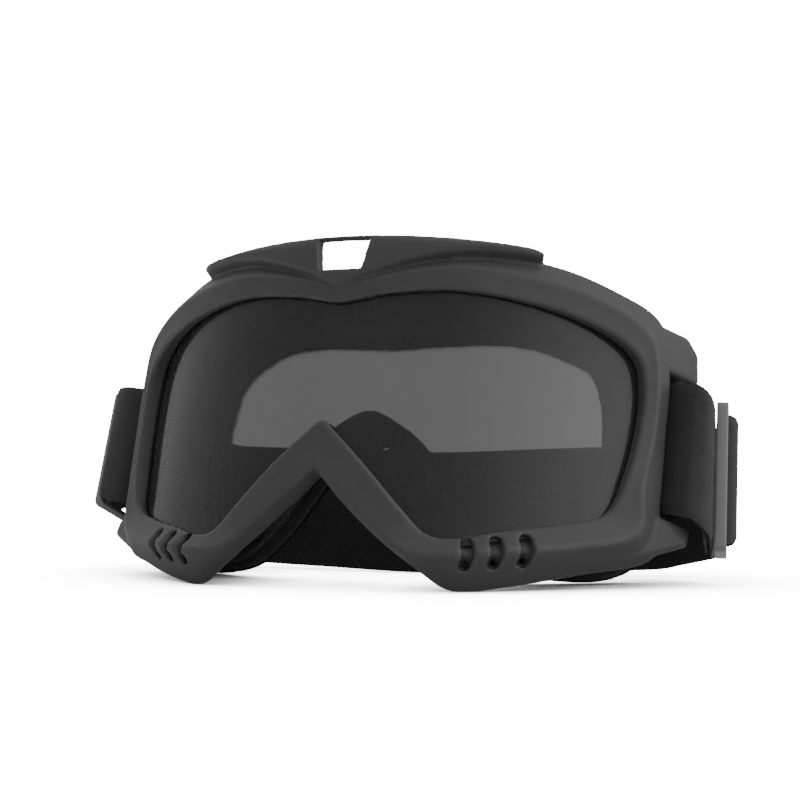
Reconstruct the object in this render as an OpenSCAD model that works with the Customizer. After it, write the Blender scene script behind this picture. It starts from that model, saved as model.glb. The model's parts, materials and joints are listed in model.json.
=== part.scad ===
// Motocross goggles standing on a table, with the strap folded behind them.
// Every shape is drawn in the goggle frame: X to the wearer's left, Y rearward from the
// front of the lens, Z up from the tip of the nose notch. at_rest() then leans the whole
// assembly back onto its strap.

/* [Lens] */
// Radius of the cylinder that the lens is bent to
lens_r = 116; // [112:1:124]
// Thickness of the lens
lens_t = 1.2; // [0.8:0.1:1.4]
// How far the lens reaches into its groove
lens_bite = 2.6; // [1.5:0.1:2.8]

/* [Frame] */
// Lean of the goggles against their strap, in degrees
tilt = 17.5; // [12:0.5:20]
// Height of the nose notch above the table
nose_height = 50.5; // [50:0.1:51]
// Radius of the curve that meets the face
face_r = 128; // [118:1:140]
// Depth from the lens to the back of the flange at the middle
face_depth = 28; // [26:0.5:32]
// Thickness of the face flange
flange_t = 2.2; // [1.8:0.1:3]
// Height of the brow shroud's top edge
brow_top = 58.9; // [58:0.1:62]

/* [Face foam] */
// Thickness of the dense base layer
base_t = 2; // [1:0.5:3]
// Thickness of the soft middle layer
core_t = 8; // [6:0.5:10]
// Thickness of the fleece that touches the skin
fleece_t = 2.5; // [1.5:0.5:3]

/* [Strap] */
// Width of the elastic webbing
web_w = 41; // [38:0.5:41]
// Thickness of the webbing
web_t = 1.4; // [1:0.1:1.6]
// How far the folded strap runs behind the lens
strap_depth = 78; // [76:1:84]

/* [Slider] */
// Height of the slider across the strap
slider_h = 45.4; // [45:0.2:48]
// Length of the slider along the strap
slider_len = 17; // [16:0.5:18]
// Thickness of the slider's bars
bar_t = 2.6; // [1.8:0.1:2.8]

/* [Hidden] */

// Centre of the bounding box along Y, so that the part stands over its origin
centre_y = 37.3;

// One row for each station round the right half of the frame, from the top centre, down the side,
// along the bottom and up the nose. s is measured round the lens cylinder, h is a height.
// [lens edge s, h,  crease s, h,  rim edge s, h,  flange outer x, z,  flange inner x, z,
//  crease depth, rim edge depth, skirt place, share of the crease depth that the lens edge has]
frame_rows = [
    [0, 37.6, 0, 42.5, 0, 46.0, 0, 44, 0, 35, -2.8, 0.5, 0.55, 0.68],
    [15, 40.1, 15, 46.0, 15, 49.0, 17, 45, 17, 36, -2.8, 0.5, 0.50, 0.68],
    [37, 42.1, 37, 49.5, 37, 54.0, 42, 46, 40, 37, -3.2, 0.5, 0.42, 0.68],
    [60, 40.2, 61, 48.0, 63, 54.4, 64, 44, 55, 33.5, -3.8, 0.6, 0.40, 0.68],
    [79, 36.0, 81, 44.0, 85.3, 49.6, 79, 38.5, 64.5, 28.5, -5.0, 0.2, 0.40, 0.68],
    [91, 30.0, 95, 36.5, 100.6, 42.8, 83, 29, 68, 21, -6.2, -0.6, 0.40, 0.68],
    [95, 21.5, 99.2, 24.0, 104.1, 27, 85, 16, 69.5, 12, -6.2, -2.7, 0.40, 0.68],
    [95.3, 8.0, 99.8, 7.0, 104.6, 6, 86, 0, 70, 0, -6.0, -3.1, 0.40, 0.68],
    [92.8, -8.0, 98.0, -9.5, 104.8, -13, 84.5, -14, 69, -10, -6.0, -3.3, 0.40, 0.66],
    [88, -20.3, 97.5, -25.0, 105.5, -30, 80, -27, 65.5, -20.3, -5.4, -1, 0.40, 0.45],
    [75, -25.6, 79, -32.5, 84, -38.6, 70, -34.5, 59.5, -27, -4.4, 2.0, 0.40, 0.26],
    [58.5, -30.2, 59, -36.8, 62, -45.6, 54, -36.5, 50, -28.5, -4.6, 3.4, 0.40, 0.22],
    [45, -34.0, 43, -39.8, 46, -48.7, 42, -35, 40, -26, -4.2, 3.6, 0.42, 0.25],
    [36.5, -33.4, 31, -40.2, 34.5, -43.6, 33, -29.5, 34, -20.5, -3.2, 2.5, 0.70, 0.45],
    [28.5, -26.6, 21.5, -34.0, 21.0, -35.0, 24.5, -20.5, 27, -12.5, -2.8, 1.5, 0.85, 0.66],
    [14, -12.2, 8.5, -23.0, 8.0, -24.4, 13, -4.5, 16, 3.5, -3.0, 1.5, 0.85, 0.68],
    [5, -4.0, 2.6, -17.6, 2.4, -19.0, 5, 3.0, 6, 10.5, -3.0, 1.5, 0.85, 0.68],
    [0, -0.2, 0, -15.6, 0, -17.0, 0, 4.4, 0, 12, -3.0, 1.5, 0.85, 0.68]
];
row_steps = 4;
half_keys = len(frame_rows) - 1;

// Small sizes shared by several pieces
lip_in = -0.25;
groove_back = lens_t + 0.25;
groove_depth = 3.3;
ledge_back = 3.2;
skirt_front = 4.2;
gap = 0.15;

// Brow shroud: half width, plate and window
shroud_s = 61;
shroud_t = 2.6;
shroud_out = -4.4;
shroud_fall = 0.0003;
window_low = 47.6;
window_high = 57.7;
window_top_w = 17.8;
window_bottom_w = 14.6;

// Chevron vents in the lower lobes: places round the lens, width and height
vent_s = [49.1, 57.3, 65.8];
vent_w = 3.2;
vent_high = -34.6;
vent_low = -43.2;

// Filter foam: places round the lens, lowest edge, height, rise, front and thickness of the lower pads,
// then half width, height and thickness of the top pad
pad_s = [46.5, 70];
pad_low = -45.8;
pad_high = 4.2;
pad_rise = 7;
pad_front = 5.6;
pad_t = 1.8;
top_pad_half = 56;
top_pad_z = 46.9;
top_pad_t = 2;

// Strap posts at the sides
post_at = [91.6, 51];
post_r = 2;
slot_mid = 5.6;
slot_half = 21.3;

// Sliders: where the webbing runs under the front bar, and its direction there in plan. Then, for
// the right and the left one, height, drop of the webbing along it, and how far its top leans inward
slider_x = [107.2, 107.8];
slider_y = 46.5;
slider_turn = 108;
slider_z = [-3.5, 7];
slider_pitch = [-4, 11];
slider_splay = [4, -12];
slider_bar = 2.6;
bar_low = 1.7;
sag_z = -7.6;

// Webbing: radius of the bend at the slider, angle where the band starts round it, where a post loop
// ends, how far the band and the inner tail run past the front bar, and the clearance between layers
bend_r = 3.2;
bend_start = -95;
loop_end = [-4.9, 42.35];
loop_share = 0.3;
web_far = 30;
tail_far = 21;
soft_gap = 0.3;
inlay = 1.3 + gap;

function lerp(a, b, t) = a + (b - a) * t;
function unit(v) = v / norm(v);
function mirror_row(r) = [for (i = [0:len(r) - 1]) (i < 10 && i % 2 == 0) ? -r[i] : r[i]];
loop_rows = concat(frame_rows, [for (i = [half_keys - 1:-1:1]) mirror_row(frame_rows[i])]);

// A smooth curve through every row of a list, at share t after row k
function curve(a, b, c, d, t) =
    b + t * (c - a) / 2 + t * t * (a - 2.5 * b + 2 * c - 0.5 * d)
    + t * t * t * (1.5 * (b - c) + 0.5 * (d - a));
function closed_curve(rows, steps) = let (n = len(rows))
    [for (k = [0:n - 1], i = [0:steps - 1])
        curve(rows[(k + n - 1) % n], rows[k], rows[(k + 1) % n], rows[(k + 2) % n], i / steps)];
function open_curve(rows, steps) = let (n = len(rows) - 1)
    concat([for (k = [0:n - 1], i = [0:steps - 1])
        curve(rows[max(k - 1, 0)], rows[k], rows[k + 1], rows[min(k + 2, n)], i / steps)], [rows[n]]);
stations = closed_curve(loop_rows, row_steps);

// A place on the lens cylinder, at depth d behind its front face
function on_lens(p, d) = let (a = p[0] / lens_r * 180 / PI)
    [(lens_r - d) * sin(a), lens_r - (lens_r - d) * cos(a), p[1]];
// A place on the face curve, dy behind the back of the flange
function face_y(x) = face_depth + face_r - sqrt(face_r * face_r - x * x);
function on_face(p, dy) = [p[0], face_y(p[0]) + dy, p[1]];

// The frame's cross-section at one station, as a closed loop of points
function frame_section(r) = let (
        edge = [r[0], r[1]], crease = [r[2], r[3]], rim = [r[4], r[5]],
        outer = [r[6], r[7]], inner = [r[8], r[9]], out = unit(crease - edge))
    [on_lens(edge, r[13] * r[10]),
     on_lens(edge + 0.9 * out, (r[13] + 0.12) * r[10]),
     on_lens(lerp(edge, crease, 0.85), r[10]),
     on_lens(crease, r[10] + 0.1),
     on_lens(lerp(crease, rim, 0.15), r[10] + 0.6),
     on_lens(rim, r[11]),
     on_lens(rim, r[11] + 1.8),
     on_lens(lerp(edge, rim, r[12]), skirt_front),
     on_face(lerp(inner, outer, r[12]), -flange_t - 0.4),
     on_face(outer, -flange_t),
     on_face(outer, 0),
     on_face(lerp(outer, inner, 0.5), 0),
     on_face(inner, 0),
     on_lens(edge + 1.4 * out, skirt_front),
     on_lens(edge, ledge_back),
     on_lens(edge, groove_back),
     on_lens(edge + groove_depth * out, groove_back),
     on_lens(edge + groove_depth * out, lip_in),
     on_lens(edge, lip_in)];

// A closed tube through rings of equal length; ends are capped unless it joins itself
module skin(rings, joined = false) {
    n = len(rings);
    m = len(rings[0]);
    last = joined ? n - 1 : n - 2;
    sides = [for (i = [0:last], j = [0:m - 1]) let (a = i * m + j, b = i * m + (j + 1) % m,
                 c = ((i + 1) % n) * m + (j + 1) % m, d = ((i + 1) % n) * m + j) each [[a, b, c], [a, c, d]]];
    caps = joined ? [] : concat([for (j = [1:m - 2]) [0, j + 1, j]],
                                [for (j = [1:m - 2]) let (e = (n - 1) * m) [e, e + j, e + j + 1]]);
    polyhedron([for (r = rings) each r], concat(sides, caps), convexity = 12);
}

module at_rest() {
    translate([0, -centre_y, nose_height]) rotate([-tilt, 0, 0]) children();
}

// Flattens what presses on the table
module standing() {
    difference() {
        at_rest() children();
        translate([-150, -150, -20]) cube([300, 300, 20]);
    }
}

module both_sides() {
    children();
    mirror([1, 0, 0]) children();
}

// The flat outline through columns i and j of the stations, in X and Z
function face_outline(i, j, inset) = [for (r = stations)
    let (outer = [r[6], r[7]], inner = [r[8], r[9]], v = unit(outer - inner))
    i == 6 ? outer - inset * v : inner + inset * v];

module rim_and_skirt() {
    skin([for (r = stations) frame_section(r)], joined = true);
}

// Raised plate over the brow, tapering towards its ends
function shroud_low(s) = 42.5 + 12.5 * sin(min(abs(s) / 48, 1) * 90);
function shroud_high(s) = brow_top - shroud_fall * s * s;
function shroud_ring(s) = let (low = shroud_low(s), end = 1 - pow(abs(s) / (shroud_s + 2), 24),
        out = lerp(-2, shroud_out, end), top = lerp(low + 1.5, shroud_high(s), end))
    [on_lens([s, low - 2], 0.8),
     on_lens([s, low + 0.4], out + 0.5),
     on_lens([s, low + 1.6], out),
     on_lens([s, top - 1], out + 0.9),
     on_lens([s, top], out + 1.7),
     on_lens([s, top], out + 1.3 + shroud_t),
     on_lens([s, low + 2], out + 1.2 + shroud_t),
     on_lens([s, low - 2], 2.4)];
module brow_shroud() {
    skin([for (t = [-1:1 / 16:1]) shroud_ring(t * shroud_s)]);
}

module brow_window() {
    low = window_bottom_w / 2;
    high = window_top_w / 2;
    translate([0, 25, 0]) rotate([90, 0, 0]) linear_extrude(60)
        polygon([[-low, window_low], [low, window_low], [high, window_high], [-high, window_high]]);
}

// One slot across the crease of a lower lobe, with its corner outward
module chevron_vent(s) {
    r = vent_w / 2;
    bend = [s + 0.6, (vent_high + vent_low) / 2 + 1];
    top = [s - 0.4, vent_high];
    foot = [s - 0.4, vent_low];
    for (leg = [[top, bend], [bend, foot]])
        hull() for (p = leg, d = [-8, 5.5]) translate(on_lens(p, d)) sphere(r, $fn = 10);
}

// Vent slots through the walls beside the nose and through the top of the skirt
module nose_vent(row, share) {
    r = lerp(frame_rows[row], frame_rows[row + 1], share);
    a = on_face([r[6], r[7]], -6);
    b = on_face([r[8], r[9]], -6);
    c = on_face([r[6], r[7]], -12);
    d = on_face([r[8], r[9]], -12);
    way = unit(b - a);
    hull() for (p = [a - 5 * way, b + 6 * way, c - 5 * way, d + 6 * way]) translate(p) sphere(2, $fn = 10);
}

module top_vent(x) {
    hull() for (dx = [-4, 4], z = [34, 52]) translate([x + dx, face_y(x) - 12, z]) sphere(1.5, $fn = 10);
}

// Shelves above and below the strap, with the post that it loops round. Each list gives the
// centres of the balls that a shelf is stretched over.
module strap_mount() {
    shelf_r = 1.6;
    top = slot_mid + slot_half + shelf_r;
    foot = slot_mid - slot_half - shelf_r;
    upper = [[83.5, 36, 37.4], [86.8, 39, 32.4], [88.6, 42.4, 40.6], [93.3, 50, 39.6],
             [94.8, 54.5, 36.2], [95.6, 54.5, top], [90.6, 43.8, top + 0.6], [84, 52, 37],
             [85, 56, top], [83, 45, top]];
    lower = [[84, 38, foot - 9], [92.4, 43.2, foot - 10.6], [85.5, 37, foot - 14.4], [99.6, 47.4, foot - 7],
             [99.6, 48.4, foot - 4], [91.4, 41.4, foot - 1.4], [89.5, 44, foot - 0.4], [85, 53, foot - 2],
             [94, 52.5, foot - 4.5], [83, 44, foot], [84, 52, foot - 8]];
    for (shelf = [upper, lower])
        hull() for (p = shelf) translate(p) sphere(shelf_r, $fn = 14);
    translate([post_at[0], post_at[1], foot - 4]) cylinder(r = post_r, h = top - foot + 4, $fn = 24);
}

module frame() {
    color([0.2, 0.2, 0.21]) standing() difference() {
        union() {
            rim_and_skirt();
            brow_shroud();
            both_sides() strap_mount();
        }
        brow_window();
        both_sides() {
            for (s = vent_s) chevron_vent(s);
            nose_vent(13, 0.65);
            nose_vent(14, 0.45);
            nose_vent(15, 0.2);
        }
        for (x = [-46, -23, 0, 23, 46]) top_vent(x);
    }
}

// The lens: a bent sheet, cut to an outline that reaches into the groove
module lens() {
    outline = [for (r = stations) let (edge = [r[0], r[1]], p = edge + lens_bite * unit([r[2], r[3]] - edge))
        [on_lens(p, lens_t)[0], p[1]]];
    color([0.25, 0.25, 0.26, 0.6]) at_rest() intersection() {
        translate([0, 70, 0]) rotate([90, 0, 0]) linear_extrude(90) polygon(outline);
        translate([0, lens_r, -60]) difference() {
            cylinder(r = lens_r, h = 120, $fn = 180);
            translate([0, 0, -1]) cylinder(r = lens_r - lens_t, h = 122, $fn = 180);
        }
    }
}

// A layer of face foam between two depths behind the flange
module foam_ring(from, to, inset) {
    intersection() {
        translate([0, 110, 0]) rotate([90, 0, 0]) linear_extrude(110) difference() {
            polygon(face_outline(6, 7, inset));
            polygon(face_outline(8, 9, inset));
        }
        translate([0, face_depth + face_r, -70]) difference() {
            translate([0, from, 0]) cylinder(r = face_r, h = 140, $fn = 180);
            translate([0, to, -1]) cylinder(r = face_r, h = 142, $fn = 180);
        }
    }
}

module foam_base() {
    color([0.13, 0.13, 0.13]) at_rest() foam_ring(soft_gap, base_t, 0.6);
}
module foam_core() {
    color([0.09, 0.09, 0.09]) standing() foam_ring(base_t + gap, base_t + core_t, 0.8);
}
module foam_fleece() {
    color([0.05, 0.05, 0.05]) standing() foam_ring(base_t + core_t + gap, base_t + core_t + fleece_t, 1.2);
}

// A thin bent pad behind the vents of a lower lobe, rising towards its outer end
module lower_pad() {
    function corner(t, high, deep) =
        on_lens([lerp(pad_s[0], pad_s[1], t), pad_low + pad_rise * t + high], deep);
    skin([for (t = [0:1 / 6:1]) [corner(t, 0, pad_front), corner(t, pad_high, pad_front),
        corner(t, pad_high, pad_front + pad_t), corner(t, 0, pad_front + pad_t)]]);
}
module right_lower_vent_foam() { color([0.1, 0.1, 0.1]) at_rest() lower_pad(); }
module left_lower_vent_foam() { color([0.1, 0.1, 0.1]) at_rest() mirror([1, 0, 0]) lower_pad(); }

function top_pad_ring(x) = let (
        front = face_y(x) - 18, back = face_y(x) - 6, z = top_pad_z - 0.0006 * x * x)
    [[x, front, z], [x, front, z + top_pad_t], [x, back, z + top_pad_t], [x, back, z]];
module top_vent_foam() {
    color([0.1, 0.1, 0.1]) at_rest() skin([for (t = [-1:1 / 12:1]) top_pad_ring(t * top_pad_half)]);
}

// Webbing: a flat band along a curve of [x, y, z, ux, uy, uz], where u points to its upper edge
module webbing(rows, steps, thick = web_t, wide = web_w) {
    path = open_curve(rows, steps);
    n = len(path) - 1;
    skin([for (i = [0:n]) let (p = path[i], at = [p[0], p[1], p[2]],
            a = path[max(i - 1, 0)], b = path[min(i + 1, n)], way = [b[0] - a[0], b[1] - a[1], b[2] - a[2]],
            up = unit([p[3], p[4], p[5]]), side = unit(cross(way, up)))
        [at + side * thick / 2 - up * wide / 2, at + side * thick / 2 + up * wide / 2,
         at - side * thick / 2 + up * wide / 2, at - side * thick / 2 - up * wide / 2]]);
}

// Direction of the webbing through slider k, and of the slider's height
function slider_way(k) = let (p = slider_pitch[k])
    [cos(p) * cos(slider_turn), cos(p) * sin(slider_turn), -sin(p)];
function slider_up(k) = let (a = sin(slider_pitch[k]) * cos(slider_splay[k]), b = sin(slider_splay[k]))
    [a * cos(slider_turn) - b * sin(slider_turn), a * sin(slider_turn) + b * cos(slider_turn),
     cos(slider_pitch[k]) * cos(slider_splay[k])];
// A row d along the webbing from the slider's front bar, and deep inside its outer layer
function web_row(k, d, deep) = concat([slider_x[k], slider_y, slider_z[k]] + d * slider_way(k)
    + deep * cross(slider_up(k), slider_way(k)), slider_up(k));
upright = [0, 0, 1];
// Share of the drop from slot to slider at angle g of the bend
function bend_share(g) = 0.36 + 0.6 * (g - bend_start) / (slider_turn - 90 - bend_start);
function bend_row(k, deep, g, share) = let (mid = web_row(k, 0, bend_r), r = bend_r - deep)
    concat([mid[0] + r * cos(g), mid[1] + r * sin(g), lerp(slot_mid, slider_z[k], share)],
        lerp(upright, slider_up(k), share));
// Webbing through the slider, from start to far past its front bar
function slider_run(k, deep, start, far) =
    [for (d = [start, 3, 0.3 * far, 0.6 * far, far - 2, far]) web_row(k, d, deep)];
function bend_run(k) = [for (i = [0:5]) let (g = lerp(bend_start, slider_turn - 90, i / 5))
    bend_row(k, 0, g, bend_share(g))];
function flip_row(r) = [-r[0], r[1], r[2], -r[3], r[4], r[5]];
function swap(rows) = [for (i = [len(rows) - 1:-1:0]) flip_row(rows[i])];

// The right half of the band at slider k, from its front bend to the sagging middle
function half_strap(k) = let (end = web_row(k, web_far, 0), up = lerp(slider_up(k), upright, 0.6))
    concat(bend_run(k), slider_run(k, 0, 1, web_far), [
        concat([86.5, strap_depth + 3, lerp(end[2], -3.4, 0.5)], up),
        concat([81, strap_depth + 4.6, -3.4], upright), concat([70, strap_depth + 4.4, -4.2], upright),
        concat([38, strap_depth + 1.6, sag_z + 1.6], upright)]);
strap_rows = concat(half_strap(0), [concat([0, strap_depth, sag_z], upright)], swap(half_strap(1)));

module strap_band() { color([0.08, 0.08, 0.08]) at_rest() webbing(strap_rows, 2); }

module strap_tail(k) {
    webbing(slider_run(k, web_t + gap, 0.4, tail_far), 2, wide = web_w - 1);
}
module right_strap_tail() { color([0.08, 0.08, 0.08]) at_rest() strap_tail(0); }
module left_strap_tail() { color([0.08, 0.08, 0.08]) at_rest() mirror([1, 0, 0]) strap_tail(1); }

// Hairpin of webbing round a post, with both ends just short of the band and the tail
module post_loop(k) {
    r = post_r + gap + web_t / 2;
    deep = web_t + gap;
    function round_post(a) = concat([post_at[0] + r * cos(a), post_at[1] + r * sin(a), slot_mid], upright);
    function leg_end(d) = concat(
        [slider_x[k] + loop_end[0], loop_end[1] + d, lerp(slot_mid, slider_z[k], loop_share)],
        lerp(upright, slider_up(k), loop_share));
    turn = [for (a = [-112:-28:-335]) round_post(a)];
    outer_leg = [for (t = [0:0.25:0.75]) lerp(leg_end(0), turn[0], t)];
    inner_leg = [for (t = [0.3, 0.55, 0.8]) lerp(turn[len(turn) - 1], leg_end(deep), t)];
    webbing(concat(outer_leg, turn, inner_leg), 3);
}
module right_post_loop() { color([0.08, 0.08, 0.08]) at_rest() post_loop(0); }
module left_post_loop() { color([0.08, 0.08, 0.08]) at_rest() mirror([1, 0, 0]) post_loop(1); }

// Puts children at slider k, on the right: X along the webbing, Y towards the head, Z up
module at_slider(k) {
    translate([slider_x[k], slider_y, slider_z[k]]) rotate([0, 0, slider_turn])
        rotate([0, slider_pitch[k], 0]) rotate([-slider_splay[k], 0, 0]) children();
}

module rounded_plate(x0, x1, h, r) {
    for (x = [x0 + r, x1 - r], z = [-h / 2 + r, h / 2 - r]) translate([x, z]) circle(r, $fn = 32);
    translate([x0, -h / 2 + r]) square([x1 - x0, h - 2 * r]);
    translate([x0 + r, -h / 2]) square([x1 - x0 - 2 * r, h]);
}

// Three-bar slider, drawn flat and stood up over the webbing
module slider(k) {
    window = (slider_len - 3 * slider_bar) / 2;
    slot_h = web_w + 1;
    at_slider(k) translate([0, -bar_low, 0]) rotate([90, 0, 0]) linear_extrude(bar_t) difference() {
        rounded_plate(0, slider_len, slider_h, 2);
        for (x = [slider_bar, 2 * slider_bar + window]) translate([x, -slot_h / 2]) square([window, slot_h]);
    }
}
module right_slider() { color([0.36, 0.36, 0.38]) at_rest() slider(0); }
module left_slider() { color([0.36, 0.36, 0.38]) at_rest() mirror([1, 0, 0]) slider(1); }

// Sewn end of the webbing, folded over the slider's middle bar
module sewn_fold(k) {
    over = bar_low + bar_t + gap;
    outer_w = inlay + web_t;
    at_slider(k) translate([slider_len / 2, 0, -(web_w - 2) / 2]) linear_extrude(web_w - 2) difference() {
        union() {
            translate([-outer_w, -over]) square([2 * outer_w, over - web_t / 2 - soft_gap]);
            translate([0, -over]) circle(outer_w, $fn = 48);
        }
        translate([-inlay, -over]) square([2 * inlay, over - bar_low + gap]);
    }
}
module right_sewn_fold() { color([0.08, 0.08, 0.08]) at_rest() sewn_fold(0); }
module left_sewn_fold() { color([0.08, 0.08, 0.08]) at_rest() mirror([1, 0, 0]) sewn_fold(1); }

// Stitches that close the sewn end under the middle bar
module bar_tacks(k) {
    pitch = 3;
    count = floor((web_w - 8) / pitch);
    long = 2 * (inlay + web_t) + 0.3;
    thread_r = 0.25;
    deep = (bar_low + web_t / 2 + soft_gap) / 2;
    at_slider(k) for (i = [0:count]) translate([slider_len / 2, -deep, (i - count / 2) * pitch])
        rotate([0, 90, 0]) cylinder(r = thread_r, h = long, center = true, $fn = 16);
}
module right_bar_tacks() { color([0.15, 0.15, 0.15]) at_rest() bar_tacks(0); }
module left_bar_tacks() { color([0.15, 0.15, 0.15]) at_rest() mirror([1, 0, 0]) bar_tacks(1); }

frame();
lens();
foam_base();
foam_core();
foam_fleece();
top_vent_foam();
right_lower_vent_foam();
left_lower_vent_foam();
strap_band();
right_post_loop();
left_post_loop();
right_strap_tail();
left_strap_tail();
right_slider();
left_slider();
right_sewn_fold();
left_sewn_fold();
right_bar_tacks();
left_bar_tacks();
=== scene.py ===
"""Motocross goggles: the looks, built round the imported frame.

Shapes are drawn in the goggle frame, in millimetres: X to the wearer's left, Y rearward from the
front of the lens, Z up from the tip of the nose notch. place() turns them into the row frame.
"""
import json
import math

import bmesh
import bpy
import numpy as np
from mathutils import Matrix, Vector


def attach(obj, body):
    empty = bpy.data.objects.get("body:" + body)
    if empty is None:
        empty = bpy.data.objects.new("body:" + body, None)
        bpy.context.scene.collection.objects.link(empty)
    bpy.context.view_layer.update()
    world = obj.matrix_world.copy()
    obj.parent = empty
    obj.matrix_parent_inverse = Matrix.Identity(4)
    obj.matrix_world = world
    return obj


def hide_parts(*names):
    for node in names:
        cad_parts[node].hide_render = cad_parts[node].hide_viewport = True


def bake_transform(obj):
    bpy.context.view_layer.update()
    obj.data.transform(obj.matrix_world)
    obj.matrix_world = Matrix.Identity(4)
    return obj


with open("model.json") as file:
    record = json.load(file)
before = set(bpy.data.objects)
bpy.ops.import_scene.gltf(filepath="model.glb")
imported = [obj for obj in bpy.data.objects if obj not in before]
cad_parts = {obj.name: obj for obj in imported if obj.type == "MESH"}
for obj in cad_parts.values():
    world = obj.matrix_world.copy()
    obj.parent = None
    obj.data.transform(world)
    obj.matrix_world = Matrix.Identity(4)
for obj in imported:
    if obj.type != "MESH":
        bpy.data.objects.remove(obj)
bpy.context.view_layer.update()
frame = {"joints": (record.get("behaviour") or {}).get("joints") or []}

MM = 0.001
RNG = np.random.default_rng(7)

# ---------------------------------------------------------------- sizes shared with the frame
LENS_R = 116.0
LENS_T = 1.2
LENS_BITE = 2.6
FACE_R = 128.0
FACE_DEPTH = 28.0
FLANGE_T = 2.2
TILT = math.radians(17.5)
HINGE_AT = np.array([0.0, 51.0, 5.6])
BASE_T, CORE_T, FLEECE_T = 2.0, 8.0, 2.5
GAP = 0.15

LIP_IN = -0.25
GROOVE_BACK = LENS_T + 0.25
GROOVE_DEPTH = 3.3
LEDGE_BACK = 3.2
SKIRT_FRONT = 4.2

SHROUD_S = 61.0
SHROUD_T = 2.6
SHROUD_OUT = -4.4
BROW_TOP = 58.9
WINDOW_LOW, WINDOW_HIGH = 47.6, 57.7
WINDOW_TOP_W, WINDOW_BOTTOM_W = 17.8, 14.6

VENT_S = (49.1, 57.3, 65.8)
NOSE_VENTS = ((13, 0.65), (14, 0.45), (15, 0.2))
TOP_VENT_X = (-46, -23, 0, 23, 46)

POST_AT = np.array([91.6, 51.0])
POST_R = 2.0
SLOT_MID, SLOT_HALF = 5.6, 21.3

WEB_W, WEB_T = 41.0, 1.4
EDGE_ROUND = 0.9
STRAP_DEPTH = 78.0
SAG_Z = -7.6
SLIDER_H, SLIDER_LEN, BAR_T, SLIDER_BAR, BAR_LOW = 45.4, 17.0, 2.6, 2.6, 1.7
SWELL_IN, SWELL_OUT = 0.5, 0.35
SLIDER_X, SLIDER_Y = (107.2, 107.8), 46.5
SLIDER_TURN = math.radians(108)
SLIDER_Z = (-3.5, 7.0)
SLIDER_PITCH = (math.radians(-4), math.radians(11))
SLIDER_SPLAY = (math.radians(4), math.radians(-12))
BEND_R = 3.2
BEND_START, TAIL_START = math.radians(-95), math.radians(-45)
LOOP_END = np.array([-4.9, 42.35])
LOOP_SHARE = 0.3
WEB_FAR, TAIL_FAR = 30.0, 21.0

# One row for each station round the right half of the frame, from the top centre, down the side,
# along the bottom and up the nose. s is measured round the lens cylinder, h is a height.
# lens edge s, h,  crease s, h,  rim edge s, h,  flange outer x, z,  flange inner x, z,
# crease depth, rim edge depth, skirt place, share of the crease depth at the lens edge
FRAME_ROWS = np.array([
    [0,    37.6,   0,    42.5,   0,    46.0,   0,    44,    0,    35,    -2.8, 0.5, 0.55, 0.68],
    [15,   40.1,   15,   46.0,   15,   49.0,   17,   45,    17,   36,    -2.8, 0.5, 0.50, 0.68],
    [37,   42.1,   37,   49.5,   37,   54.0,   42,   46,    40,   37,    -3.2, 0.5, 0.42, 0.68],
    [60, 40.2, 61, 48.0, 63, 54.4, 64, 44, 55, 33.5, -3.8, 0.6, 0.40, 0.68],
    [79, 36.0, 81, 44.0, 85.3, 49.6, 79, 38.5, 64.5, 28.5, -5.0, 0.2, 0.40, 0.68],
    [91, 30.0, 95, 36.5, 100.6, 42.8, 83, 29, 68, 21, -6.2, -0.6, 0.40, 0.68],
    [95, 21.5, 99.2, 24.0, 104.1, 27, 85, 16, 69.5, 12, -6.2, -2.7, 0.40, 0.68],
    [95.3, 8.0, 99.8, 7.0, 104.6, 6, 86, 0, 70, 0, -6.0, -3.1, 0.40, 0.68],
    [92.8, -8.0, 98.0, -9.5, 104.8, -13, 84.5, -14, 69, -10, -6.0, -3.3, 0.40, 0.66],
    [88, -20.3, 97.5, -25.0, 105.5, -30, 80, -27, 65.5, -20.3, -5.4, -1, 0.40, 0.45],
    [75, -25.6, 79, -32.5, 84, -38.6, 70, -34.5, 59.5, -27, -4.4, 2.0, 0.40, 0.26],
    [58.5, -30.2,  59,   -36.8,  62,   -45.6,  54,   -36.5, 50,   -28.5, -4.6, 3.4, 0.40, 0.22],
    [45,   -34.0,  43,   -39.8,  46,   -48.7,  42,   -35,   40,   -26,   -4.2, 3.6, 0.42, 0.25],
    [36.5, -33.4,  31,   -40.2,  34.5, -43.6,  33,   -29.5, 34,   -20.5, -3.2, 2.5, 0.70, 0.45],
    [28.5, -26.6,  21.5, -34.0,  21.0, -35.0,  24.5, -20.5, 27,   -12.5, -2.8, 1.5, 0.85, 0.66],
    [14,   -12.2,  8.5,  -23.0,  8.0,  -24.4,  13,   -4.5,  16,   3.5,   -3.0, 1.5, 0.85, 0.68],
    [5,    -4.0,   2.6,  -17.6,  2.4,  -19.0,  5,    3.0,   6,    10.5,  -3.0, 1.5, 0.85, 0.68],
    [0,    -0.2,   0,    -15.6,  0,    -17.0,  0,    4.4,   0,    12,    -3.0, 1.5, 0.85, 0.68],
])
MIRRORED = np.where(np.isin(np.arange(14), (0, 2, 4, 6, 8)), -1.0, 1.0)
UPRIGHT = np.array([0.0, 0.0, 1.0])

# ---------------------------------------------------------------- geometry helpers
hinge = next(j for j in frame["joints"] if j["name"] == "strap_tilt")
COS_T, SIN_T = math.cos(TILT), math.sin(TILT)
LEAN = np.array([[1, 0, 0], [0, COS_T, SIN_T], [0, -SIN_T, COS_T]])
ORIGIN = np.array(hinge["pos_m"]) - LEAN @ HINGE_AT * MM


def place(points):
    """Goggle-frame millimetres to row-frame metres."""
    return np.asarray(points, float) @ LEAN.T * MM + ORIGIN


def lerp(a, b, t):
    return a + (b - a) * t


def unit(v):
    return v / np.linalg.norm(v, axis=-1, keepdims=True)


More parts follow.
